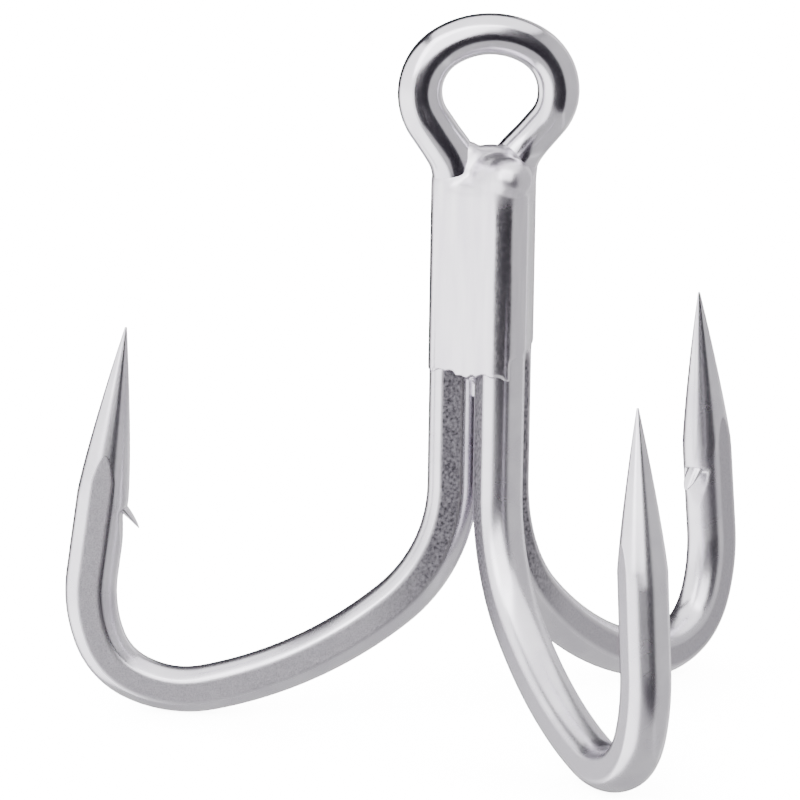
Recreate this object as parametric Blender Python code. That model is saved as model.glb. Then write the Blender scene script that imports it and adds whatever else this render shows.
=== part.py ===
"""Treble hook: a double hook whose wire makes the eye, a single hook and the braze that joins them.

Run with blender --background --python part.py. Lengths below are in millimetres and angles in
degrees; the scene is in metres. +Z points from the bends to the eye. The origin is the centre of
the eye. The single hook bends out along -Y, and the double hook's two hooks at 30 and 150 degrees.
"""

import math

import bmesh
import bpy
from mathutils import Vector

MM = 0.001

# Layout about the treble's own axis, which runs parallel to Z.
AXIS_Y = -0.45
AXIS_TO_WIRE = 2.23
SINGLE_AZIMUTH = 270.0
DOUBLE_AZIMUTHS = (150.0, 30.0)

# One hook, as fed through a wire bender from the shank down to the point.
BEND_START_Z = -27.1
BENDS = ((11.7, 49.3), (30.3, 27.8), (8.0, 37.8), (5.0, 43.5), (9.5, 28.7))  # radius, angle
POINT_LEG = 17.7

# Width of the wire in the plane of the bend, by how far it has turned from straight down.
WIDTHS = ((0, 3.60), (20, 3.48), (45, 3.44), (70, 3.30), (95, 3.15), (140, 3.44), (175, 3.66))
FORGED_THICKNESS = 3.06
FORGED_FLAT = 1.66
FORGED_TOP_Z = -17.0
FORGED_RUN_OUT = 2.0

# Ground point: an ogive on the end of the point leg.
POINT_LENGTH = 12.1
POINT_POWER = 1.25
POINT_TIP = 0.24

# Barb: a tongue raised from the inner side of the point leg, over a shallow scoop.
BARB_FROM_TIP = 12.6
BARB_LENGTH = 1.6
BARB_ANGLE = 50.0
BARB_ROOT = (0.62, 1.15)  # thickness and width
BARB_END = (0.12, 0.40)
BARB_BURIED = 0.55
SCOOP_DEPTH = 0.42
SCOOP_LENGTH = 3.2

# Eye: half of a symmetric loop, from the top of a shank to the crown.
EYE_START_Z = -6.23
LEG_BEND = (4.5, 35.7)  # radius and angle
LEG_STRAIGHT = 2.32
SIDE_RADIUS = 3.72
SIDE_TO_CROWN = 58.5
EYE_TURN = -16.6  # the eye's plane, turned about Z from the plane of the two shanks
EYE_WIRES = {-1: (2.88, 3.11, 3.21), 1: (2.88, 2.94, 2.79)}  # at crown, side and leg, left and right
WAIST = 3.6  # height over which the eye's wire thickens to the shank's

# Braze.
BRAZE_GAP = 0.15
BRAZE_LEFT_Z = (-19.6, -6.35)
BRAZE_RIGHT_Z = (-17.8, -6.35)
BRAZE_BACK_Z = (-18.6, -6.35)
BRAZE_DISH = 0.10
CAP_CENTRE = (0.1, -1.25, -4.75)
CAP_SIZE = (4.3, 4.5, 2.9)
SADDLE_RADIUS = 1.35
SADDLE_Z = -3.45
SINGLE_TOP_Z = -5.2

# Mesh fineness.
SIDES = 16
BEND_STEP = 1.3

HALF_SIDE = math.pi / SIDES


def clear_scene():
    for item in list(bpy.data.objects):
        bpy.data.objects.remove(item, do_unlink=True)


def interpolate(table, at):
    """Straight-line interpolation in a table of (x, y) pairs, held at its ends."""
    for (x0, y0), (x1, y1) in zip(table, table[1:]):
        if at <= x1:
            return y0 + (y1 - y0) * max(0.0, at - x0) / (x1 - x0)
    return table[-1][1]


def smooth_step(t):
    t = min(1.0, max(0.0, t))
    return t * t * (3 - 2 * t)


def radial(azimuth):
    angle = math.radians(azimuth)
    return Vector((math.cos(angle), math.sin(angle), 0.0))


# ---- one hook ----


def bend_path():
    """The hook's centreline in its own plane, as (radius, height, turned) from bend to tip."""
    radius, height, turned = AXIS_TO_WIRE, BEND_START_Z, 0.0
    path = [(radius, height, turned)]
    for bend_radius, angle in BENDS:
        centre_r = radius + bend_radius * math.cos(turned)
        centre_z = height + bend_radius * math.sin(turned)
        steps = math.ceil(bend_radius * math.radians(angle) / BEND_STEP)
        start = turned
        for step in range(1, steps + 1):
            turned = start + math.radians(angle) * step / steps
            radius = centre_r - bend_radius * math.cos(turned)
            height = centre_z - bend_radius * math.sin(turned)
            path.append((radius, height, turned))
    for along in point_leg_marks():
        path.append((radius + along * math.sin(turned), height - along * math.cos(turned), turned))
    return path


def point_leg_marks():
    """Distances along the straight point leg at which it has a station."""
    barb = POINT_LEG - BARB_FROM_TIP
    scoop = [barb - SCOOP_LENGTH * part for part in (0.75, 0.5, 0.25, 0.08)]
    point = [POINT_LEG - POINT_LENGTH * (1 - part / 9) ** 1.3 for part in range(10)]
    return sorted(scoop + [barb] + point)


def ground_radius(from_tip):
    """Radius left by grinding the point, at a distance from the tip."""
    part = min(1.0, from_tip / POINT_LENGTH)
    full = WIDTHS[-1][1] / 2
    return POINT_TIP / 2 + (full - POINT_TIP / 2) * (1 - (1 - part) ** POINT_POWER)


def hook_section(height, turned, from_tip):
    """(half width, half thickness, half flat) of the wire where it is bent, forged and ground."""
    half_width = interpolate(WIDTHS, math.degrees(turned)) / 2
    forged = smooth_step((FORGED_TOP_Z - height) / FORGED_RUN_OUT)
    thick = half_width * math.cos(HALF_SIDE) * (1 - forged) + FORGED_THICKNESS / 2 * forged
    flat = half_width * math.sin(HALF_SIDE) * (1 - forged) + FORGED_FLAT / 2 * forged
    ground = ground_radius(from_tip)
    if ground * math.cos(HALF_SIDE) <= thick:
        return ground, ground * math.cos(HALF_SIDE), ground * math.sin(HALF_SIDE)
    flat = min(flat, math.sqrt(ground**2 - thick**2))
    return min(half_width, ground), thick, flat


def scoop_depth(from_tip):
    """How deep the blade that raised the barb has cut, at a distance from the tip."""
    part = (from_tip - BARB_FROM_TIP) / SCOOP_LENGTH
    if not 0 < part < 1:
        return 0.0
    return SCOOP_DEPTH * smooth_step(part / 0.12) * (1 - smooth_step(part))


def section_points(half_width, half_thick, half_flat, scoop=0.0):
    """Outline of the wire: a flat each side, joined by arcs; +u is the outside of the bend."""
    bulge = half_width - half_flat
    radius = (half_thick**2 + bulge**2) / (2 * bulge)
    centre = half_width - radius
    reach = math.atan2(half_thick, half_flat - centre)
    arc_steps = SIDES // 2 - 1
    arc = []
    for step in range(arc_steps + 1):
        angle = -reach + 2 * reach * step / arc_steps
        arc.append((centre + radius * math.cos(angle), radius * math.sin(angle)))
    inner = [(max(-u, scoop - half_width), -v) for u, v in arc]
    return arc + inner


def hook_stations(azimuth):
    """Rings (centre, outside, travel, sizes) from the top of the bend to the tip."""
    out = radial(azimuth)
    up = Vector((0, 0, 1))
    path = bend_path()
    tip = Vector(path[-1][:2])
    stations = []
    for radius, height, turned in path:
        centre = axis_point(height) + out * radius
        travel = out * math.sin(turned) - up * math.cos(turned)
        outside = -out * math.cos(turned) - up * math.sin(turned)
        straight = turned == path[-1][2]
        from_tip = (tip - Vector((radius, height))).length if straight else POINT_LEG
        sizes = hook_section(height, turned, from_tip) + (scoop_depth(from_tip),)
        stations.append((centre, outside, travel, sizes))
    return stations


def shank_stations(azimuth, heights):
    """Rings down the straight shank, above the bend."""
    out = radial(azimuth)
    down = Vector((0, 0, -1))
    return [
        (axis_point(z) + out * AXIS_TO_WIRE, -out, down, hook_section(z, 0.0, POINT_LEG))
        for z in heights
    ]


def axis_point(height):
    return Vector((0.0, AXIS_Y, height))


def shank_heights(top):
    run_out = [FORGED_TOP_Z - FORGED_RUN_OUT * part / 4 for part in range(5)]
    return [top] + run_out


def reverse(stations):
    return [(centre, outside, -travel, sizes) for centre, outside, travel, sizes in stations[::-1]]


# ---- the eye ----


def eye_half_path():
    """Half the loop in its own plane, as (across, height, lean), from a shank to the crown."""
    across, height = AXIS_TO_WIRE * math.sin(math.radians(60)), EYE_START_Z
    path = [(across, height, 0.0)]
    lean = math.radians(LEG_BEND[1])
    path += swing(path[-1], LEG_BEND[0], lean)
    across, height, _ = path[-1]
    path.append((across + LEG_STRAIGHT * math.sin(lean), height + LEG_STRAIGHT * math.cos(lean), lean))
    side_end = -math.radians(SIDE_TO_CROWN)
    path += swing(path[-1], SIDE_RADIUS, side_end - lean)
    crown_radius = path[-1][0] / math.cos(side_end)
    path += swing(path[-1], crown_radius, -math.pi / 2 - side_end)
    return path


def swing(start, radius, turn):
    """Points round an arc; lean is measured from straight up, and turn is positive outwards."""
    across, height, lean = start
    side = math.copysign(1.0, turn)
    centre = (across + side * radius * math.cos(lean), height - side * radius * math.sin(lean))
    steps = math.ceil(radius * abs(turn) / (BEND_STEP * 0.75))
    points = []
    for step in range(1, steps + 1):
        angle = lean + turn * step / steps
        points.append(
            (
                centre[0] - side * radius * math.cos(angle),
                centre[1] + side * radius * math.sin(angle),
                angle,
            )
        )
    return points


def place_in_eye(across, height):
    """Turns a point of the flat loop into space: the loop twists and moves over the origin."""
    along = smooth_step((height - EYE_START_Z) / (0.0 - EYE_START_Z))
    turn = math.radians(EYE_TURN) * along
    offset = (AXIS_Y + AXIS_TO_WIRE * math.cos(math.radians(60))) * (1 - along)
    return Vector((across * math.cos(turn), across * math.sin(turn) + offset, height))


def eye_wire(side, height, lean):
    """Diameter of the wire round the eye: side is -1 left or 1 right, lean is from straight up."""
    table = tuple(zip((-90.0, 0.0, LEG_BEND[1]), EYE_WIRES[side]))
    waist = smooth_step((height - EYE_START_Z) / WAIST)
    return WIDTHS[0][1] * (1 - waist) + interpolate(table, math.degrees(lean)) * waist


def eye_stations(first_outside, last_outside):
    """Rings from the left shank over the eye to the right one."""
    half = eye_half_path()
    left = [(-across, height, lean) for across, height, lean in half]
    flat = left + half[-2::-1]
    centres = [place_in_eye(across, height) for across, height, _ in flat]
    radii = [eye_wire(1 if across > 0 else -1, height, lean) / 2 for across, height, lean in flat]
    travels = [
        (centres[min(i + 1, len(centres) - 1)] - centres[max(i - 1, 0)]).normalized()
        for i in range(len(centres))
    ]
    travels[0], travels[-1] = Vector((0, 0, 1)), Vector((0, 0, -1))
    outsides = carry(first_outside, last_outside, travels)
    return [
        (c, o, t, (r, r * math.cos(HALF_SIDE), r * math.sin(HALF_SIDE)))
        for c, o, t, r in zip(centres, outsides, travels, radii)
    ]


def carry(first, last, travels):
    """Moves a direction along a path without spin, then spreads the misfit at the end evenly."""
    carried = [first]
    for before, after in zip(travels, travels[1:]):
        carried.append(before.rotation_difference(after) @ carried[-1])
    end = carried[-1]
    misfit = math.atan2(end.cross(last).dot(travels[-1]), end.dot(last))
    spun = []
    for i, (direction, travel) in enumerate(zip(carried, travels)):
        angle = misfit * i / (len(travels) - 1)
        spun.append(direction * math.cos(angle) + travel.cross(direction) * math.sin(angle))
    return spun


# ---- meshes ----


def ring(station, grow=0.0):
    centre, outside, travel, sizes = station
    side = travel.cross(outside)
    grown = [size + grow for size in sizes[:2]] + list(sizes[2:])
    return [centre + outside * u + side * v for u, v in section_points(*grown)]


def tube_faces(ring_count, sides):
    faces = [tuple(range(sides))[::-1]]
    for i in range(ring_count - 1):
        for j in range(sides):
            k = (j + 1) % sides
            faces.append((i * sides + j, i * sides + k, (i + 1) * sides + k, (i + 1) * sides + j))
    last = (ring_count - 1) * sides
    faces.append(tuple(range(last, last + sides)))
    return faces


def make_object(name, rings, material=None):
    """One closed solid through rings of equal size; with no material it is a hidden helper."""
    mesh = bpy.data.meshes.new(name)
    points = [point * MM for loop in rings for point in loop]
    mesh.from_pydata(points, [], tube_faces(len(rings), len(rings[0])))
    face_outwards(mesh)
    mesh.shade_smooth()
    mesh.set_sharp_from_angle(angle=math.radians(35))
    item = bpy.data.objects.new(name, mesh)
    bpy.context.scene.collection.objects.link(item)
    if material:
        mesh.materials.append(material)
    else:
        item.hide_render = True
        item.display_type = "WIRE"
    return item


def face_outwards(mesh):
    shell = bmesh.new()
    shell.from_mesh(mesh)
    if shell.calc_volume(signed=True) < 0:
        bmesh.ops.reverse_faces(shell, faces=shell.faces)
    shell.to_mesh(mesh)
    shell.free()


def add_boolean(item, other, operation):
    modifier = item.modifiers.new(other.name, "BOOLEAN")
    modifier.operation = operation
    modifier.object = other
    modifier.solver = "EXACT"


def metal(name, colour, roughness):
    material = bpy.data.materials.new(name)
    material.use_nodes = True
    shader = material.node_tree.nodes["Principled BSDF"]
    shader.inputs["Base Color"].default_value = (*colour, 1.0)
    shader.inputs["Metallic"].default_value = 1.0
    shader.inputs["Roughness"].default_value = roughness
    return material


def barb(name, azimuth):
    """A tapering tongue, rooted in the inner side of the point leg and pointing back down it."""
    out = radial(azimuth)
    side = out.cross(Vector((0, 0, 1)))
    radius, height, turned = bend_path()[-1]
    back = -(out * math.sin(turned) - Vector((0, 0, 1)) * math.cos(turned))
    inward = out * math.cos(turned) + Vector((0, 0, 1)) * math.sin(turned)
    tip = axis_point(height) + out * radius
    root = tip + back * BARB_FROM_TIP + inward * WIDTHS[-1][1] / 2
    angle = math.radians(BARB_ANGLE)
    along = back * math.cos(angle) + inward * math.sin(angle)
    thick = inward * math.cos(angle) - back * math.sin(angle)
    rings = []
    for distance, taper in ((-BARB_BURIED, 0.0), (0.2, 0.1), (0.9, 0.5), (BARB_LENGTH, 1.0)):
        thickness, width = (a + (b - a) * taper for a, b in zip(BARB_ROOT, BARB_END))
        centre = root + along * distance - thick * thickness / 2
        corners = ((-1, -1), (1, -1), (1, 1), (-1, 1))
        rings.append([centre + thick * thickness / 2 * a + side * width / 2 * b for a, b in corners])
    return make_object(name, rings)


def double_hook_stations():
    left, right = DOUBLE_AZIMUTHS
    heights = shank_heights(EYE_START_Z - 0.8)
    left_leg = shank_stations(left, heights) + hook_stations(left)
    right_leg = shank_stations(right, heights) + hook_stations(right)
    loop = eye_stations(left_leg[0][1], right_leg[0][1])
    return reverse(left_leg) + loop + right_leg


def single_hook_stations():
    top = SINGLE_TOP_Z
    stations = shank_stations(SINGLE_AZIMUTH, shank_heights(top - 1.1)) + hook_stations(SINGLE_AZIMUTH)
    centre, outside, travel, _ = stations[0]
    full = WIDTHS[0][1] / 2
    crown = []
    for part in (0.25, 0.6, 0.85):
        radius = full * math.sqrt(part)
        rise = Vector((0, 0, 1.1 * (1 - part**1.5)))
        sizes = (radius, radius * math.cos(HALF_SIDE), radius * math.sin(HALF_SIDE))
        crown.append((centre + rise, outside, travel, sizes))
    return crown + stations


def make_wire(name, stations, azimuths, material):
    item = make_object(name, [ring(station) for station in stations], material)
    for number, azimuth in enumerate(azimuths):
        add_boolean(item, barb(f"{name}_barb_{number}", azimuth), "UNION")
    return item


def shank_centre(azimuth):
    point = axis_point(0) + radial(azimuth) * AXIS_TO_WIRE
    return Vector((point.x, point.y))


def groove_outline(first, second, depth):
    """Section of the braze in the groove between two shanks; depth sinks its outer face."""
    a, b = shank_centre(first), shank_centre(second)
    middle = (a + b) / 2
    along = (b - a).normalized()
    outward = (middle - Vector((0, AXIS_Y))).normalized()
    reach = WIDTHS[0][1] / 2 + BRAZE_GAP
    half = (b - a).length / 2
    level = WIDTHS[0][1] / 2 - depth
    low = math.atan2(math.sqrt(reach**2 - half**2), half)
    high = math.asin(level / reach)
    sweep = [high + (low - high) * step / 5 for step in range(6)]
    left = [a + along * reach * math.cos(t) + outward * reach * math.sin(t) for t in sweep]
    right = [b - along * reach * math.cos(t) + outward * reach * math.sin(t) for t in sweep[-2::-1]]
    dish = middle + outward * (level - BRAZE_DISH)
    return left + right + [dish]


def groove_braze(name, first, second, heights, material):
    """Braze along a groove, thinning towards its lower lip."""
    low, high = heights
    rings = []
    for part, depth in ((0.0, 0.75), (0.02, 0.35), (0.06, 0.12), (0.12, 0.0), (1.0, 0.0)):
        z = low + (high - low) * part
        rings.append([Vector((p.x, p.y, z)) for p in groove_outline(first, second, depth)])
    return make_object(name, rings, material)


def ellipsoid_rings(centre, size, levels=12, around=24):
    rings = []
    for level in range(1, levels):
        tilt = math.pi * level / levels
        loop = []
        for step in range(around):
            turn = 2 * math.pi * step / around
            unit = (math.sin(tilt) * math.cos(turn), math.sin(tilt) * math.sin(turn), -math.cos(tilt))
            loop.append(Vector(c + s / 2 * u for c, s, u in zip(centre, size, unit)))
        rings.append(loop)
    return rings


def saddle_rings():
    """A bar through the foot of the eye's opening, square to the eye."""
    normal = radial(EYE_TURN + 90)
    across = radial(EYE_TURN)
    middle = Vector((0, 0, SADDLE_Z + SADDLE_RADIUS))
    rings = []
    for along in (-5.0, 5.0):
        loop = []
        for step in range(20):
            turn = 2 * math.pi * step / 20
            spoke = across * math.cos(turn) + Vector((0, 0, 1)) * math.sin(turn)
            loop.append(middle - normal * along + spoke * SADDLE_RADIUS)
        rings.append(loop)
    return rings


def braze_cap(double, single, material):
    """The braze over the single hook's end, drawn up between the feet of the eye."""
    cap = make_object("braze_cap", ellipsoid_rings(CAP_CENTRE, CAP_SIZE), material)
    foot = CAP_CENTRE[2] - CAP_SIZE[2]
    near = [station for station in double if foot < station[0].z < 1.0]
    stretches = {
        "left_leg": [station for station in near if station[0].x < 0],
        "right_leg": [station for station in near if station[0].x > 0],
        "single_hook": [station for station in single if station[0].z > foot],
    }
    for name, stations in stretches.items():
        cutter = make_object(f"{name}_clearance", [ring(s, BRAZE_GAP) for s in stations])
        add_boolean(cap, cutter, "DIFFERENCE")
    add_boolean(cap, make_object("eye_clearance", saddle_rings()), "DIFFERENCE")
    return cap


def build():
    clear_scene()
    steel = metal("bright_steel", (0.64, 0.63, 0.66), 0.2)
    braze = metal("braze", (0.72, 0.71, 0.74), 0.28)
    left, right = DOUBLE_AZIMUTHS
    double, single = double_hook_stations(), single_hook_stations()
    make_wire("double_hook", double, DOUBLE_AZIMUTHS, steel)
    make_wire("single_hook", single, (SINGLE_AZIMUTH,), steel)
    groove_braze("braze_left", left, SINGLE_AZIMUTH, BRAZE_LEFT_Z, braze)
    groove_braze("braze_right", SINGLE_AZIMUTH, right, BRAZE_RIGHT_Z, braze)
    groove_braze("braze_back", right, left, BRAZE_BACK_Z, braze)
    braze_cap(double, single, braze)


build()
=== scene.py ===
"""Looks of the treble hook: finely bent and forged wires, ground points, sliced barbs and flowed braze.

Lengths below are in millimetres and angles in degrees, as in the CAD; the scene is in metres.
+Z points from the bends to the eye, and the origin is the centre of the eye.
"""

import math

import bmesh
import bpy
from mathutils import Matrix, Vector


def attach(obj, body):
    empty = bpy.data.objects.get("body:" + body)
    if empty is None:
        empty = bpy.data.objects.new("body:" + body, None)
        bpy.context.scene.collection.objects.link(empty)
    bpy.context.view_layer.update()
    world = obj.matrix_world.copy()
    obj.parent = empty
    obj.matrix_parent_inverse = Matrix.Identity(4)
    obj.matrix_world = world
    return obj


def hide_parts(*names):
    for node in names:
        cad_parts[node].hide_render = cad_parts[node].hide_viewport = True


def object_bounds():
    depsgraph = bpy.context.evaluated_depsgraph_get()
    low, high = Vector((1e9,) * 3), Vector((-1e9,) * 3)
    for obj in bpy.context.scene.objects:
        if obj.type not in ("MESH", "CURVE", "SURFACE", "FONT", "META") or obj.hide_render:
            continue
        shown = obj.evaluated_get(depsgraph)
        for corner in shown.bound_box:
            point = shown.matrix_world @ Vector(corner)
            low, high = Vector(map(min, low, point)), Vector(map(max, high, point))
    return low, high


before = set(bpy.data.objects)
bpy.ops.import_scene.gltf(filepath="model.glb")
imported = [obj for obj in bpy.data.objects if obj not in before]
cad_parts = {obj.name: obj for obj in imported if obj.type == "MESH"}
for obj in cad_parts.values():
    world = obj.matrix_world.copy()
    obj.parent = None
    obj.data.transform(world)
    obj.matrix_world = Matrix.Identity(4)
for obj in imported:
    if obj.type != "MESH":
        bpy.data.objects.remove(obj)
cad_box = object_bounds()

MM = 0.001

# Layout about the treble's own axis, as in the CAD.
AXIS_Y = -0.45
AXIS_TO_WIRE = 2.23
SINGLE_AZIMUTH = 270.0
DOUBLE_AZIMUTHS = (150.0, 30.0)

# One hook, from the shank down to the point.
BEND_START_Z = -27.1
BENDS = ((11.7, 49.3), (30.3, 27.8), (8.0, 37.8), (5.0, 43.5), (9.5, 28.7))  # radius, angle
POINT_LEG = 17.7
WIDTHS = ((0, 3.60), (20, 3.48), (45, 3.44), (70, 3.30), (95, 3.15), (140, 3.44), (175, 3.66))
FORGED_THICKNESS = 3.06
FORGED_FLAT = 1.66
FORGED_TOP_Z = -17.0
FORGED_RUN_OUT = 2.0
POINT_LENGTH = 12.1
POINT_POWER = 1.25
POINT_TIP = 0.16
WIDTH_SPREAD = (-6.0, -3.0, 0.0, 3.0, 6.0)  # degrees over which the widths are averaged

# Barb and the scoop it was raised from.
BARB_FROM_TIP = 12.6
BARB_LENGTH = 1.75
BARB_ANGLE = 50.0
BARB_CURL = 22.0
BARB_ROOT = (0.74, 1.30)  # thickness and width
BARB_END = (0.06, 0.30)
BARB_THINNING = 1.3  # powers by which the barb gets thinner and narrower towards its end
BARB_NARROWING = 2.2
BARB_BURIED = 0.6
BARB_ROOT_LEAN = (0.64, 0.77)  # which way the buried root runs: back along the point, and inward
SCOOP_DEPTH = 0.42
SCOOP_LENGTH = 3.2
SCOOP_MOUTH = 0.12  # part of its length over which it drops to full depth

# Eye.
EYE_START_Z = -6.23
LEG_BEND = (4.5, 35.7)  # radius and angle
LEG_STRAIGHT = 2.32
SIDE_RADIUS = 3.72
SIDE_TO_CROWN = 58.5
EYE_TURN = -16.6
EYE_WIRES = {-1: (2.88, 3.11, 3.21), 1: (2.88, 2.94, 2.79)}  # at crown, side and leg; -1 is the left
WAIST = 3.6  # height over which a shank's width runs into the eye's

# Top of the single hook, rounded over.
SINGLE_TOP_Z = -5.5
SINGLE_TOP_RISE = 1.3

# Braze along the shanks.
BRAZE_SKIN = 0.09
BRAZE_TOP_Z = -3.9
BRAZE_DOME_RISE = 2.2
BRAZE_LIPS = {  # each groove's azimuth, the height of its lower lip, and the height where it starts to fill
    "left": (210.0, -19.5, -3.8),
    "right": (330.0, -18.0, -3.3),
    "back": (90.0, -18.6, -3.3),
}
LIP_DEPTH = 1.6
LIP_RISE = 0.5
LIP_WAVES = ((0.16, 0.11), (0.1, 0.37))  # height in mm, and radians per degree of azimuth
VALLEY_DEPTH = 1.5
VALLEY_LENGTH = 2.6

# Braze that flowed over the top: a collar on each leg of the eye, a sleeve on the single hook, and lumps.
COLLAR_TOPS = {-1: -4.7, 1: -3.8}  # -1 is the left leg
COLLAR_FOOT_Z = -7.5
COLLAR_SKIN = 0.08
COLLAR_BURIED = 0.3
COLLAR_UNDER = 0.8  # the collar starts to sink into the wire this far under its top, and ends above it
COLLAR_OVER = 0.6
COLLAR_TAPER = 1.4
SLEEVE_TOP_Z = -4.2
SLEEVE_FOOT_Z = -10.0
SLEEVE_SKIN = 0.06
SLEEVE_BURIED = 0.3
SLEEVE_TAPER = (-6.4, 1.5)  # where it starts and how long it is
LUMPS = {  # centre and radii
    "web_between_the_legs": ((0.0, -0.3, -5.0), (2.5, 1.6, 1.8)),
    "fillet_at_the_left_leg": ((-1.45, 0.0, -4.2), (1.0, 1.1, 1.25)),
    "body_over_the_single_hook": ((0.0, -1.8, -5.15), (1.9, 2.3, 1.5)),
    "drop_on_the_front": ((0.15, -3.25, -5.2), (1.7, 1.75, 1.55)),
}
MELT_START_Z = -6.6
MELT_RUN = 1.2
MELT_PASSES = 28
SKIN_PASSES = 5

# Mesh fineness.
ARC_STEPS = 22
FLAT_STEPS = 6
STEP = 0.3
TIP_CROWDING = 1.15  # brings the point's rings closer together towards its tip
BARB_STEPS = 12
BARB_SIDES = 16
DOME_STEPS = 10
BRAZE_SIDES = 120
BRAZE_LEVELS = 60
BRAZE_LEVEL = 0.25
BRAZE_VOXEL = 0.1
ROUND_FLAT = 0.05  # half flat of a round section, as a part of its half width

# Camera, from the point on the treble's axis level with the hooks' tips.
CAMERA_TARGET = (0.0, AXIS_Y, -17.0)
CAMERA_HEADING = 66.37  # direction it looks along, from +X towards +Y
CAMERA_DOWN = 10.67
CAMERA_ROLL = 0.95
CAMERA_DISTANCE = 695.0
CAMERA_AIM = (-6.0, -4.26)  # to the right of the target and above it
LENS = 450.0

# Studio, in metres: each panel's heading clockwise from the camera, height, distance, size and brightness.
PANELS = {
    "left_softbox": (-79.0, -0.1, 1.0, (2.1, 2.4), 3.3),
    "front_high_softbox": (-21.0, 0.78, 1.0, (1.62, 1.32), 5.5),
    "right_softbox": (94.0, 0.0, 1.0, (2.4, 2.2), 0.95),
    "back_right_softbox": (152.0, 0.0, 1.4, (0.85, 2.0), 1.1),
    "low_softbox": (-80.0, -0.8, 0.3, (3.4, 3.6), 0.9),
    "top_softbox": (0.0, 1.2, 0.001, (1.9, 1.9), 3.0),
}
DARK_ROOM = (0.022, 0.018, 0.028)
FLOOR_GLOW = 9.0
FLOOR_PROFILE = ((0.02, 0.0), (1.5, 0.0), (2.2, 0.1), (2.7, 0.4), (3.0, 1.0), (3.1, 2.5))  # radius, rise
FLOOR_SIDES = 64
FLOOR_GAP = 0.00002


def interpolate(table, at):
    """Straight-line interpolation in a table of (x, y) pairs, held at its ends."""
    for (x0, y0), (x1, y1) in zip(table, table[1:]):
        if at <= x1:
            return y0 + (y1 - y0) * max(0.0, at - x0) / (x1 - x0)
    return table[-1][1]


def smooth_step(t):
    t = min(1.0, max(0.0, t))
    return t * t * (3 - 2 * t)


def radial(azimuth):
    angle = math.radians(azimuth)
    return Vector((math.cos(angle), math.sin(angle), 0.0))


def axis_point(height):
    return Vector((0.0, AXIS_Y, height))


# ---- one hook ----


def bend_path():
    """The hook's centreline in its own plane, as (radius, height, turned) from bend to tip."""
    radius, height, turned = AXIS_TO_WIRE, BEND_START_Z, 0.0
    path = [(radius, height, turned)]
    for bend_radius, angle in BENDS:
        centre_r = radius + bend_radius * math.cos(turned)
        centre_z = height + bend_radius * math.sin(turned)
        steps = math.ceil(bend_radius * math.radians(angle) / STEP)
        start = turned
        for step in range(1, steps + 1):
            turned = start + math.radians(angle) * step / steps
            radius = centre_r - bend_radius * math.cos(turned)
            height = centre_z - bend_radius * math.sin(turned)
            path.append((radius, height, turned))
    steps = math.ceil(POINT_LEG / (STEP * 0.5))
    for step in range(1, steps + 1):
        along = POINT_LEG * (1 - (1 - step / steps) ** TIP_CROWDING)
        path.append((radius + along * math.sin(turned), height - along * math.cos(turned), turned))
    return path


def ground_radius(from_tip):
    """Radius left by grinding the point, at a distance from the tip."""
    part = min(1.0, from_tip / POINT_LENGTH)
    full = WIDTHS[-1][1] / 2
    return POINT_TIP / 2 + (full - POINT_TIP / 2) * (1 - (1 - part) ** POINT_POWER)


def softened_widths(degrees):
    """Width of the wire in the bend's plane, with the table's corners smoothed out."""
    widths = [interpolate(WIDTHS, max(0.0, degrees + offset)) for offset in WIDTH_SPREAD]
    return sum(widths) / len(widths)


def hook_section(height, turned, from_tip):
    """(half width, half thickness, half flat, flatness) of the bent, forged and ground wire."""
    half_width = softened_widths(math.degrees(turned)) / 2
    forged = smooth_step((FORGED_TOP_Z - height) / FORGED_RUN_OUT)
    thick = half_width * (1 - forged) + FORGED_THICKNESS / 2 * forged
    flat = half_width * ROUND_FLAT * (1 - forged) + FORGED_FLAT / 2 * forged
    ground = ground_radius(from_tip)
    if ground <= thick:
        return ground, ground, ground * ROUND_FLAT, 0.0
    flat = max(ground * ROUND_FLAT, min(flat, math.sqrt(ground**2 - thick**2)))
    return min(half_width, ground), thick, flat, forged


def scoop_depth(from_tip):
    """How deep the blade that raised the barb has cut, at a distance from the tip."""
    part = (from_tip - BARB_FROM_TIP) / SCOOP_LENGTH
    if not 0 < part < 1:
        return 0.0
    return SCOOP_DEPTH * smooth_step(part / SCOOP_MOUTH) * (1 - smooth_step(part))


def section_points(half_width, half_thick, half_flat, flatness, scoop=0.0):
    """Outline of the wire as (u, v, flatness): a flat each side, joined by arcs."""
    bulge = half_width - half_flat
    radius = (half_thick**2 + bulge**2) / (2 * bulge)
    centre = half_width - radius
    reach = math.atan2(half_thick, half_flat - centre)
    arc = []
    for step in range(ARC_STEPS + 1):
        angle = -reach + 2 * reach * step / ARC_STEPS
        arc.append((centre + radius * math.cos(angle), radius * math.sin(angle), 0.0))
    inner = [(max(-u, scoop - half_width), -v, 0.0) for u, v, _ in arc]
    across = [half_flat * (1 - 2 * step / FLAT_STEPS) for step in range(1, FLAT_STEPS)]
    top = [(u, half_thick, flatness) for u in across]
    bottom = [(-u, -half_thick, flatness) for u in across]
    return arc + top + inner + bottom


def hook_stations(azimuth):
    """Rings (centre, outside, travel, sizes) from the top of the bend to the tip."""
    out = radial(azimuth)
    up = Vector((0, 0, 1))
    path = bend_path()
    tip = Vector(path[-1][:2])
    stations = []
    for radius, height, turned in path:
        centre = axis_point(height) + out * radius
        travel = out * math.sin(turned) - up * math.cos(turned)
        outside = -out * math.cos(turned) - up * math.sin(turned)
        straight = turned == path[-1][2]
        from_tip = (tip - Vector((radius, height))).length if straight else POINT_LEG
        sizes = hook_section(height, turned, from_tip) + (scoop_depth(from_tip),)
        stations.append((centre, outside, travel, sizes))
    return stations


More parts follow.
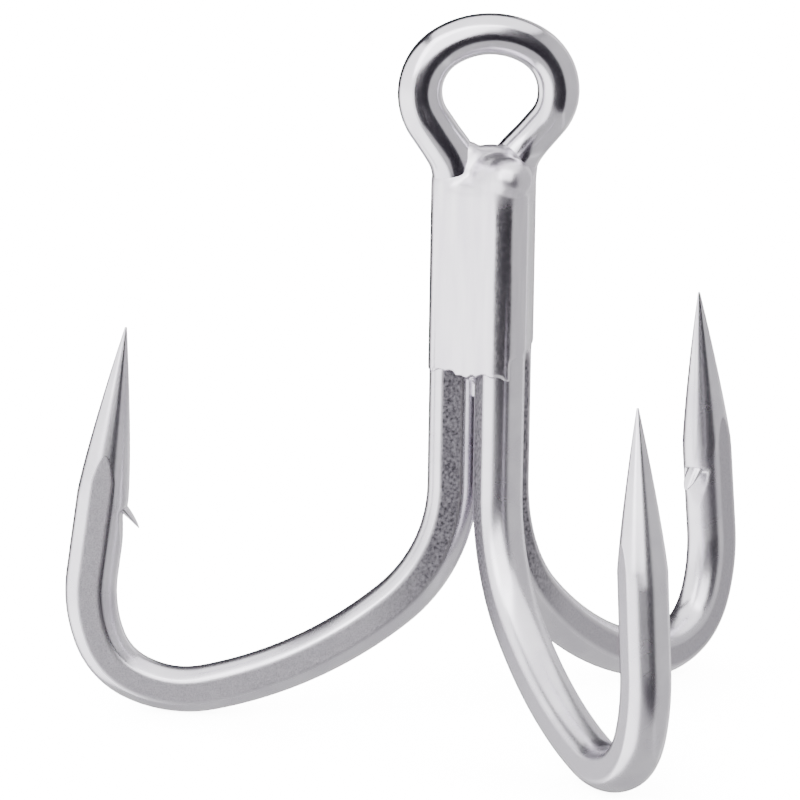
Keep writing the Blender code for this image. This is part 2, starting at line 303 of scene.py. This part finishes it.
def shank_stations(azimuth, top):
    """Rings down the straight shank, above the bend."""
    out = radial(azimuth)
    down = Vector((0, 0, -1))
    steps = math.ceil((top - BEND_START_Z) / STEP)
    heights = [top + (BEND_START_Z - top) * step / steps for step in range(steps)]
    return [
        (axis_point(z) + out * AXIS_TO_WIRE, -out, down, hook_section(z, 0.0, POINT_LEG))
        for z in heights
    ]


def reverse(stations):
    return [(centre, outside, -travel, sizes) for centre, outside, travel, sizes in stations[::-1]]


# ---- the eye ----


def swing(start, radius, turn):
    """Points round an arc; lean is measured from straight up, and turn is positive outwards."""
    across, height, lean = start
    side = math.copysign(1.0, turn)
    centre = (across + side * radius * math.cos(lean), height - side * radius * math.sin(lean))
    steps = math.ceil(radius * abs(turn) / STEP)
    points = []
    for step in range(1, steps + 1):
        angle = lean + turn * step / steps
        across = centre[0] - side * radius * math.cos(angle)
        height = centre[1] + side * radius * math.sin(angle)
        points.append((across, height, angle))
    return points


def eye_half_path():
    """Half the loop in its own plane, as (across, height, lean), from a shank to the crown."""
    path = [(AXIS_TO_WIRE * math.sin(math.radians(60)), EYE_START_Z, 0.0)]
    lean = math.radians(LEG_BEND[1])
    path += swing(path[-1], LEG_BEND[0], lean)
    across, height, _ = path[-1]
    steps = math.ceil(LEG_STRAIGHT / STEP)
    for step in range(1, steps + 1):
        along = LEG_STRAIGHT * step / steps
        path.append((across + along * math.sin(lean), height + along * math.cos(lean), lean))
    side_end = -math.radians(SIDE_TO_CROWN)
    path += swing(path[-1], SIDE_RADIUS, side_end - lean)
    crown_radius = path[-1][0] / math.cos(side_end)
    path += swing(path[-1], crown_radius, -math.pi / 2 - side_end)
    return path


def place_in_eye(across, height):
    """Turns a point of the flat loop into space: the loop twists and moves over the origin."""
    along = smooth_step((height - EYE_START_Z) / (0.0 - EYE_START_Z))
    turn = math.radians(EYE_TURN) * along
    offset = (AXIS_Y + AXIS_TO_WIRE * math.cos(math.radians(60))) * (1 - along)
    return Vector((across * math.cos(turn), across * math.sin(turn) + offset, height))


def eye_wire(side, height, lean):
    """Diameter of the wire round the eye: side is -1 left or 1 right, lean is from straight up."""
    table = tuple(zip((-90.0, 0.0, LEG_BEND[1]), EYE_WIRES[side]))
    waist = smooth_step((height - EYE_START_Z) / WAIST)
    return WIDTHS[0][1] * (1 - waist) + interpolate(table, math.degrees(lean)) * waist


def eye_stations(first_outside, last_outside):
    """Rings from the left shank over the eye to the right one."""
    half = eye_half_path()
    left = [(-across, height, lean) for across, height, lean in half]
    flat = left + half[-2::-1]
    centres = [place_in_eye(across, height) for across, height, _ in flat]
    radii = [eye_wire(1 if across > 0 else -1, height, lean) / 2 for across, height, lean in flat]
    travels = [
        (centres[min(i + 1, len(centres) - 1)] - centres[max(i - 1, 0)]).normalized()
        for i in range(len(centres))
    ]
    travels[0], travels[-1] = Vector((0, 0, 1)), Vector((0, 0, -1))
    outsides = carry(first_outside, last_outside, travels)
    return [
        (c, o, t, (r, r, r * ROUND_FLAT, 0.0)) for c, o, t, r in zip(centres, outsides, travels, radii)
    ]


def carry(first, last, travels):
    """Moves a direction along a path without spin, then spreads the misfit at the end evenly."""
    carried = [first]
    for before, after in zip(travels, travels[1:]):
        carried.append(before.rotation_difference(after) @ carried[-1])
    end = carried[-1]
    misfit = math.atan2(end.cross(last).dot(travels[-1]), end.dot(last))
    spun = []
    for i, (direction, travel) in enumerate(zip(carried, travels)):
        angle = misfit * i / (len(travels) - 1)
        spun.append(direction * math.cos(angle) + travel.cross(direction) * math.sin(angle))
    return spun


# ---- meshes ----


def add_ring(shell, layer, station, grow=0.0):
    """Adds one section's points to the shell and returns them."""
    centre, outside, travel, sizes = station
    side = travel.cross(outside)
    grown = [size + grow for size in sizes[:2]] + list(sizes[2:])
    ring = []
    for u, v, flatness in section_points(*grown):
        vert = shell.verts.new((centre + outside * u + side * v) * MM)
        vert[layer] = flatness
        ring.append(vert)
    return ring


def bridge(shell, rings):
    """Closes a stack of rings into one solid."""
    for lower, upper in zip(rings, rings[1:]):
        for j in range(len(lower)):
            k = (j + 1) % len(lower)
            shell.faces.new((lower[j], lower[k], upper[k], upper[j]))
    shell.faces.new(rings[0][::-1])
    shell.faces.new(rings[-1])


def finish_mesh(name, shell):
    if shell.calc_volume(signed=True) < 0:
        bmesh.ops.reverse_faces(shell, faces=shell.faces)
    mesh = bpy.data.meshes.new(name)
    shell.to_mesh(mesh)
    shell.free()
    mesh.shade_smooth()
    item = bpy.data.objects.new(name, mesh)
    bpy.context.scene.collection.objects.link(item)
    return item


def add_barb(shell, layer, azimuth):
    """A curled, tapering tongue, rooted in the inner side of the point leg."""
    out = radial(azimuth)
    radius, height, turned = bend_path()[-1]
    back = -(out * math.sin(turned) - Vector((0, 0, 1)) * math.cos(turned))
    inward = out * math.cos(turned) + Vector((0, 0, 1)) * math.sin(turned)
    tip = axis_point(height) + out * radius
    root = back * BARB_ROOT_LEAN[0] + inward * BARB_ROOT_LEAN[1]
    place = tip + back * BARB_FROM_TIP + inward * WIDTHS[-1][1] / 2 - root * BARB_BURIED
    length = BARB_LENGTH + BARB_BURIED
    rings = []
    for step in range(BARB_STEPS + 1):
        part = step / BARB_STEPS
        angle = math.radians(BARB_ANGLE - BARB_CURL * part)
        along = back * math.cos(angle) + inward * math.sin(angle)
        thick = inward * math.cos(angle) - back * math.sin(angle)
        across = along.cross(thick)
        thickness = BARB_ROOT[0] + (BARB_END[0] - BARB_ROOT[0]) * part**BARB_THINNING
        width = max(BARB_END[1], BARB_ROOT[1] * math.sqrt(1 - part**BARB_NARROWING))
        centre = place - thick * thickness / 2
        ring = []
        for j in range(BARB_SIDES):
            turn = 2 * math.pi * j / BARB_SIDES
            offset = thick * thickness / 2 * math.cos(turn) + across * width / 2 * math.sin(turn)
            vert = shell.verts.new((centre + offset) * MM)
            vert[layer] = 0.0
            ring.append(vert)
        rings.append(ring)
        place = place + along * length / BARB_STEPS
    bridge(shell, rings)


def wire_object(name, stations, azimuths):
    """The wire through its stations, with a barb on each of its hooks."""
    shell = bmesh.new()
    layer = shell.verts.layers.float.new("forged")
    bridge(shell, [add_ring(shell, layer, station) for station in stations])
    for azimuth in azimuths:
        add_barb(shell, layer, azimuth)
    return finish_mesh(name, shell)


def double_hook_stations():
    left, right = DOUBLE_AZIMUTHS
    top = EYE_START_Z - STEP
    left_leg = shank_stations(left, top) + hook_stations(left)
    right_leg = shank_stations(right, top) + hook_stations(right)
    loop = eye_stations(left_leg[0][1], right_leg[0][1])
    return reverse(left_leg) + loop + right_leg


def single_hook_stations(top):
    """Rings from the single hook's rounded top end, at height top, to its tip."""
    stations = shank_stations(SINGLE_AZIMUTH, top - SINGLE_TOP_RISE) + hook_stations(SINGLE_AZIMUTH)
    centre, outside, travel, _ = stations[0]
    full = WIDTHS[0][1] / 2
    crown = []
    for step in range(1, DOME_STEPS):
        angle = math.pi / 2 * step / DOME_STEPS
        radius = full * math.sin(angle)
        lift = Vector((0, 0, SINGLE_TOP_RISE * math.cos(angle)))
        crown.append((centre + lift, outside, travel, (radius, radius, radius * ROUND_FLAT, 0.0)))
    return crown + stations


# ---- braze ----


def bundle_levels():
    """Heights down the brazed bundle, each with the part of its full reach that the dome leaves."""
    levels = []
    for step in range(1, DOME_STEPS):
        angle = math.pi / 2 * step / DOME_STEPS
        levels.append((BRAZE_TOP_Z - BRAZE_DOME_RISE * (1 - math.cos(angle)), math.sin(angle)))
    for step in range(BRAZE_LEVELS):
        levels.append((BRAZE_TOP_Z - BRAZE_DOME_RISE - BRAZE_LEVEL * step, 1.0))
    return levels


def add_bundle(shell):
    """Braze round all three shanks, domed on top."""
    rings = []
    for height, part in bundle_levels():
        ring = []
        for j in range(BRAZE_SIDES):
            azimuth = 360.0 * j / BRAZE_SIDES
            reach = bundle_reach(azimuth, height) * part
            ring.append(shell.verts.new((axis_point(height) + radial(azimuth) * reach) * MM))
        rings.append(ring)
    bridge(shell, rings[::-1])


def turn_between(azimuth, other):
    """Signed angle from other to azimuth, from -180 to 180 degrees."""
    return (azimuth - other + 180) % 360 - 180


def bundle_reach(azimuth, height):
    """Distance from the treble's axis to the skin of the brazed bundle."""
    wire = WIDTHS[0][1] / 2
    nearest = min((turn_between(azimuth, a) for a in (SINGLE_AZIMUTH, *DOUBLE_AZIMUTHS)), key=abs)
    side = AXIS_TO_WIRE * math.sin(math.radians(nearest))
    on_wire = AXIS_TO_WIRE * math.cos(math.radians(nearest)) + math.sqrt(max(0.0, wire**2 - side**2))
    groove, lip, brow = min(BRAZE_LIPS.values(), key=lambda entry: abs(turn_between(azimuth, entry[0])))
    off = math.radians(turn_between(azimuth, groove))
    flush = AXIS_TO_WIRE * math.cos(math.radians(60)) + wire
    edge = AXIS_TO_WIRE * math.sin(math.radians(60))
    across = flush * math.tan(off)
    fill = flush / math.cos(off) if abs(across) < edge else on_wire
    ragged = sum(tall * math.sin(azimuth * rate) for tall, rate in LIP_WAVES)
    low = smooth_step((height - lip - ragged) / LIP_RISE)
    valley = max(0.0, 1 - (across / edge) ** 2) * (1 - smooth_step((brow - height) / VALLEY_LENGTH))
    return fill - LIP_DEPTH * (1 - low) - VALLEY_DEPTH * valley + BRAZE_SKIN


def add_tube(shell, stations, grows):
    """A sleeve over a wire's stations, standing proud by grows."""
    layer = shell.verts.layers.float.new("sleeve")
    bridge(shell, [add_ring(shell, layer, station, grow) for station, grow in zip(stations, grows)])


def add_ellipsoid(shell, centre, radii):
    found = bmesh.ops.create_icosphere(shell, subdivisions=4, radius=1.0)
    for vert in found["verts"]:
        vert.co = Vector(c + r * p for c, r, p in zip(centre, radii, vert.co)) * MM


def add_collars(shell, double):
    """Sleeves on the eye's two legs, which thin out upwards until they sink into the wire."""
    for side, top in COLLAR_TOPS.items():
        leg = [station for station in double if station[0].x * side > 0]
        near = [station for station in leg if COLLAR_FOOT_Z < station[0].z < top + COLLAR_OVER]
        sunk = [smooth_step((station[0].z - top + COLLAR_UNDER) / COLLAR_TAPER) for station in near]
        add_tube(shell, near, [COLLAR_SKIN - COLLAR_BURIED * part for part in sunk])


def add_sleeve(shell):
    """A sleeve over the single hook's rounded end, which sinks into the bundle below."""
    start, run = SLEEVE_TAPER
    stations = [s for s in single_hook_stations(SLEEVE_TOP_Z) if s[0].z > SLEEVE_FOOT_Z]
    sunk = [smooth_step((start - station[0].z) / run) for station in stations]
    add_tube(shell, stations, [SLEEVE_SKIN - SLEEVE_BURIED * part for part in sunk])


def braze_object(double):
    """Flowed braze: the filled grooves, the legs' collars, the web and the drop on the front."""
    shell = bmesh.new()
    add_bundle(shell)
    add_collars(shell, double)
    add_sleeve(shell)
    for centre, radii in LUMPS.values():
        add_ellipsoid(shell, centre, radii)
    item = finish_mesh("braze_flow", shell)
    remesh = item.modifiers.new("melt", "REMESH")
    remesh.mode = "VOXEL"
    remesh.voxel_size = BRAZE_VOXEL * MM
    apply_modifiers(item)
    melted = item.vertex_groups.new(name="melted")
    for vert in item.data.vertices:
        weight = smooth_step((vert.co.z / MM - MELT_START_Z) / MELT_RUN)
        melted.add([vert.index], weight, "REPLACE")
    flow(item, SKIN_PASSES)
    flow(item, MELT_PASSES, melted)
    apply_modifiers(item)
    return item


def flow(item, passes, group=None):
    """Smooths the whole piece, or only as far as the group's weights say."""
    smooth = item.modifiers.new("flow", "SMOOTH")
    smooth.factor = 0.5
    smooth.iterations = passes
    if group:
        smooth.vertex_group = group.name


def apply_modifiers(item):
    graph = bpy.context.evaluated_depsgraph_get()
    mesh = bpy.data.meshes.new_from_object(item.evaluated_get(graph))
    item.modifiers.clear()
    item.data = mesh
    mesh.shade_smooth()


# ---- materials ----


class Nodes:
    """Short calls for building one material's node tree."""

    def __init__(self, name):
        self.material = bpy.data.materials.new(name)
        self.material.use_nodes = True
        self.tree = self.material.node_tree
        self.shader = self.tree.nodes["Principled BSDF"]
        self.coords = self.add("ShaderNodeTexCoord").outputs["Object"]

    def add(self, kind, **settings):
        node = self.tree.nodes.new(kind)
        for key, value in settings.items():
            setattr(node, key, value)
        return node

    def link(self, source, target):
        self.tree.links.new(source, target)

    def noise(self, size, detail=3.0, stretch=(1.0, 1.0, 1.0)):
        """Noise whose features are about size millimetres across."""
        mapping = self.add("ShaderNodeMapping")
        mapping.inputs["Scale"].default_value = stretch
        self.link(self.coords, mapping.inputs["Vector"])
        noise = self.add("ShaderNodeTexNoise")
        noise.inputs["Scale"].default_value = 1 / (size * MM)
        noise.inputs["Detail"].default_value = detail
        self.link(mapping.outputs["Vector"], noise.inputs["Vector"])
        return noise.outputs["Fac"]

    def height(self):
        """Height above the origin, in metres."""
        split = self.add("ShaderNodeSeparateXYZ")
        self.link(self.coords, split.inputs["Vector"])
        return split.outputs["Z"]

    def off_axis(self):
        """Distance from the vertical line through the origin, in metres."""
        flat = self.add("ShaderNodeVectorMath", operation="MULTIPLY")
        flat.inputs[1].default_value = (1.0, 1.0, 0.0)
        self.link(self.coords, flat.inputs[0])
        length = self.add("ShaderNodeVectorMath", operation="LENGTH")
        self.link(flat.outputs["Vector"], length.inputs[0])
        return length.outputs["Value"]

    def ranged(self, value, low, high, start=0.3, end=0.7):
        node = self.add("ShaderNodeMapRange")
        for slot, number in zip(("From Min", "From Max", "To Min", "To Max"), (start, end, low, high)):
            node.inputs[slot].default_value = number
        self.link(value, node.inputs["Value"])
        return node.outputs["Result"]

    def mix(self, factor, first, second):
        """Mixes two values, each a number or a socket."""
        node = self.add("ShaderNodeMix", data_type="FLOAT")
        self.link(factor, node.inputs["Factor"])
        for slot, value in ((2, first), (3, second)):
            if isinstance(value, float):
                node.inputs[slot].default_value = value
            else:
                self.link(value, node.inputs[slot])
        return node.outputs[0]

    def colours(self, factor, first, second):
        node = self.add("ShaderNodeMix", data_type="RGBA")
        self.link(factor, node.inputs["Factor"])
        for slot, value in ((6, first), (7, second)):
            if isinstance(value, tuple):
                node.inputs[slot].default_value = (*value, 1.0)
            else:
                self.link(value, node.inputs[slot])
        return node.outputs[2]

    def bump(self, height, strength, distance, normal=None):
        node = self.add("ShaderNodeBump")
        node.inputs["Distance"].default_value = distance * MM
        if isinstance(strength, float):
            node.inputs["Strength"].default_value = strength
        else:
            self.link(strength, node.inputs["Strength"])
        self.link(height, node.inputs["Height"])
        if normal:
            self.link(normal, node.inputs["Normal"])
        return node.outputs["Normal"]


def wire_material():
    """Bright plating on round wire, and finely grained satin on the forged flats, with painted shade
    darkening the flats near the shanks.
    """
    nodes = Nodes("plated_wire")
    nodes.shader.inputs["Metallic"].default_value = 1.0
    forged = nodes.add("ShaderNodeAttribute", attribute_name="forged").outputs["Fac"]
    cloud = nodes.noise(2.5)
    grain = nodes.noise(0.09, detail=4.0)
    streak = nodes.noise(0.12, detail=3.0, stretch=(1.0, 1.0, 0.12))
    bright = nodes.colours(nodes.ranged(cloud, 0.0, 1.0), (0.60, 0.575, 0.63), (0.70, 0.68, 0.725))
    pits = nodes.noise(0.22, detail=4.0)
    # Painted shade: the forged flats get much darker towards the shanks, where the wires crowd together. The
    # pitted grain mixed into that dark colour is the flats' own texture.
    near_shank_shade = nodes.ranged(nodes.off_axis(), 1.0, 0.0, start=3.5 * MM, end=8.0 * MM)
    even = nodes.colours(nodes.ranged(grain, 0.0, 1.0), (0.33, 0.315, 0.35), (0.48, 0.46, 0.50))
    shaded_grain = nodes.colours(nodes.ranged(pits, 0.0, 1.0), (0.05, 0.045, 0.055), (0.30, 0.285, 0.32))
    satin = nodes.colours(near_shank_shade, even, shaded_grain)
    nodes.link(nodes.colours(forged, bright, satin), nodes.shader.inputs["Base Color"])
    worn = nodes.ranged(nodes.height(), 0.30, 0.15, start=-24.0 * MM, end=-12.0 * MM)
    gloss = nodes.mix(cloud, worn, 0.24)
    rough = nodes.ranged(grain, 0.34, 0.48)
    nodes.link(nodes.mix(forged, gloss, rough), nodes.shader.inputs["Roughness"])
    fine = nodes.bump(streak, 0.12, 0.01)
    strength = nodes.mix(forged, 0.03, 0.6)
    nodes.link(nodes.bump(grain, strength, 0.02, fine), nodes.shader.inputs["Normal"])
    return nodes.material


def braze_material():
    """Plated braze, smooth but with the gentle ripple of metal that flowed."""
    nodes = Nodes("braze")
    nodes.shader.inputs["Metallic"].default_value = 1.0
    cloud = nodes.noise(1.6, detail=2.0)
    run = nodes.noise(0.8, detail=2.0, stretch=(1.0, 1.0, 0.12))
    speck = nodes.noise(0.2, detail=3.0)
    colour = nodes.colours(nodes.ranged(run, 0.0, 1.0), (0.61, 0.58, 0.64), (0.73, 0.705, 0.75))
    nodes.link(colour, nodes.shader.inputs["Base Color"])
    smooth = nodes.ranged(speck, 0.19, 0.26)
    top = nodes.ranged(nodes.height(), 0.0, 1.0, start=-7.4 * MM, end=-6.2 * MM)
    nodes.link(nodes.mix(top, smooth, 0.34), nodes.shader.inputs["Roughness"])
    ripple = nodes.bump(cloud, 0.25, 0.1)
    drawn = nodes.bump(run, 0.2, 0.04, ripple)
    nodes.link(nodes.bump(speck, 0.09, 0.015, drawn), nodes.shader.inputs["Normal"])
    return nodes.material


def floor_material():
    nodes = Nodes("pale_floor")
    nodes.shader.inputs["Roughness"].default_value = 0.9
    nodes.shader.inputs["Specular IOR Level"].default_value = 0.1
    nodes.shader.inputs["Emission Color"].default_value = (1.0, 1.0, 1.0, 1.0)
    nodes.shader.inputs["Emission Strength"].default_value = FLOOR_GLOW
    tone = nodes.ranged(nodes.noise(60.0, detail=2.0), 0.0, 1.0)
    colour = nodes.colours(tone, (0.90, 0.90, 0.905), (0.92, 0.92, 0.92))
    nodes.link(colour, nodes.shader.inputs["Base Color"])
    return nodes.material


# ---- studio ----


def make_floor():
    """A pale sweep: flat under the hook, and curving up far behind it on every side."""
    level = cad_box[0][2] - FLOOR_GAP
    shell = bmesh.new()
    rings = []
    for radius, rise in FLOOR_PROFILE:
        ring = []
        for j in range(FLOOR_SIDES):
            spoke = radial(360.0 * j / FLOOR_SIDES) * radius
            ring.append(shell.verts.new((spoke.x, spoke.y, level + rise)))
        rings.append(ring)
    for lower, upper in zip(rings, rings[1:]):
        for j in range(FLOOR_SIDES):
            k = (j + 1) % FLOOR_SIDES
            shell.faces.new((lower[j], lower[k], upper[k], upper[j]))
    shell.faces.new(rings[0][::-1])
    bmesh.ops.recalc_face_normals(shell, faces=shell.faces)
    mesh = bpy.data.meshes.new("floor")
    shell.to_mesh(mesh)
    shell.free()
    mesh.shade_smooth()
    floor = bpy.data.objects.new("floor", mesh)
    bpy.context.scene.collection.objects.link(floor)
    mesh.materials.append(floor_material())
    floor.visible_glossy = False


def camera_axes():
    heading = radial(CAMERA_HEADING)
    down = math.radians(CAMERA_DOWN)
    forward = heading * math.cos(down) - Vector((0, 0, 1)) * math.sin(down)
    right = forward.cross(Vector((0, 0, 1))).normalized()
    return right, right.cross(forward), forward


def make_camera():
    right, up, forward = camera_axes()
    target = Vector(CAMERA_TARGET)
    place = target - forward * CAMERA_DISTANCE
    aim = target + right * CAMERA_AIM[0] + up * CAMERA_AIM[1]
    data = bpy.data.cameras.new("camera")
    data.lens = LENS
    data.sensor_width = 36.0
    data.clip_start = 0.01
    data.clip_end = 20.0
    camera = bpy.data.objects.new("camera", data)
    bpy.context.scene.collection.objects.link(camera)
    turn = (aim - place).to_track_quat("-Z", "Y").to_matrix().to_4x4()
    roll = Matrix.Rotation(math.radians(CAMERA_ROLL), 4, "Z")
    camera.matrix_world = Matrix.Translation(place * MM) @ turn @ roll
    bpy.context.scene.camera = camera


def make_panel(name, heading, height, distance, size, brightness):
    """A soft light at a heading clockwise from the camera, facing the hook."""
    towards = radial(CAMERA_HEADING + 180.0 + heading)
    data = bpy.data.lights.new(name, "AREA")
    data.shape = "RECTANGLE"
    data.size, data.size_y = size
    data.energy = brightness * math.pi * size[0] * size[1]
    light = bpy.data.objects.new(name, data)
    bpy.context.scene.collection.objects.link(light)
    place = towards * distance + Vector((0, 0, height))
    light.location = place
    light.rotation_euler = (-place).to_track_quat("-Z", "Y").to_euler()


def make_lights():
    for name, panel in PANELS.items():
        make_panel(name, *panel)
    world = bpy.data.worlds.new("world")
    bpy.context.scene.world = world
    world.use_nodes = True
    world.node_tree.nodes["Background"].inputs["Color"].default_value = (*DARK_ROOM, 1.0)
    world.node_tree.nodes["Background"].inputs["Strength"].default_value = 1.0


# ---- assembly ----


def add_piece(item, slot, material, *nodes):
    item.data.materials.clear()
    item.data.materials.append(material)
    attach(item, "root")
    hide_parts(*nodes)


def build():
    double, single = double_hook_stations(), single_hook_stations(SINGLE_TOP_Z)
    wire, braze = wire_material(), braze_material()
    add_piece(wire_object("double_hook_wire", double, DOUBLE_AZIMUTHS), "plated_wire", wire, "double_hook")
    add_piece(wire_object("single_hook_wire", single, (SINGLE_AZIMUTH,)), "plated_wire", wire, "single_hook")
    brazed = ("braze_left", "braze_right", "braze_back", "braze_cap")
    add_piece(braze_object(double), "braze", braze, *brazed)


build()
make_floor()
make_lights()
make_camera()

bpy.context.view_layer.update()
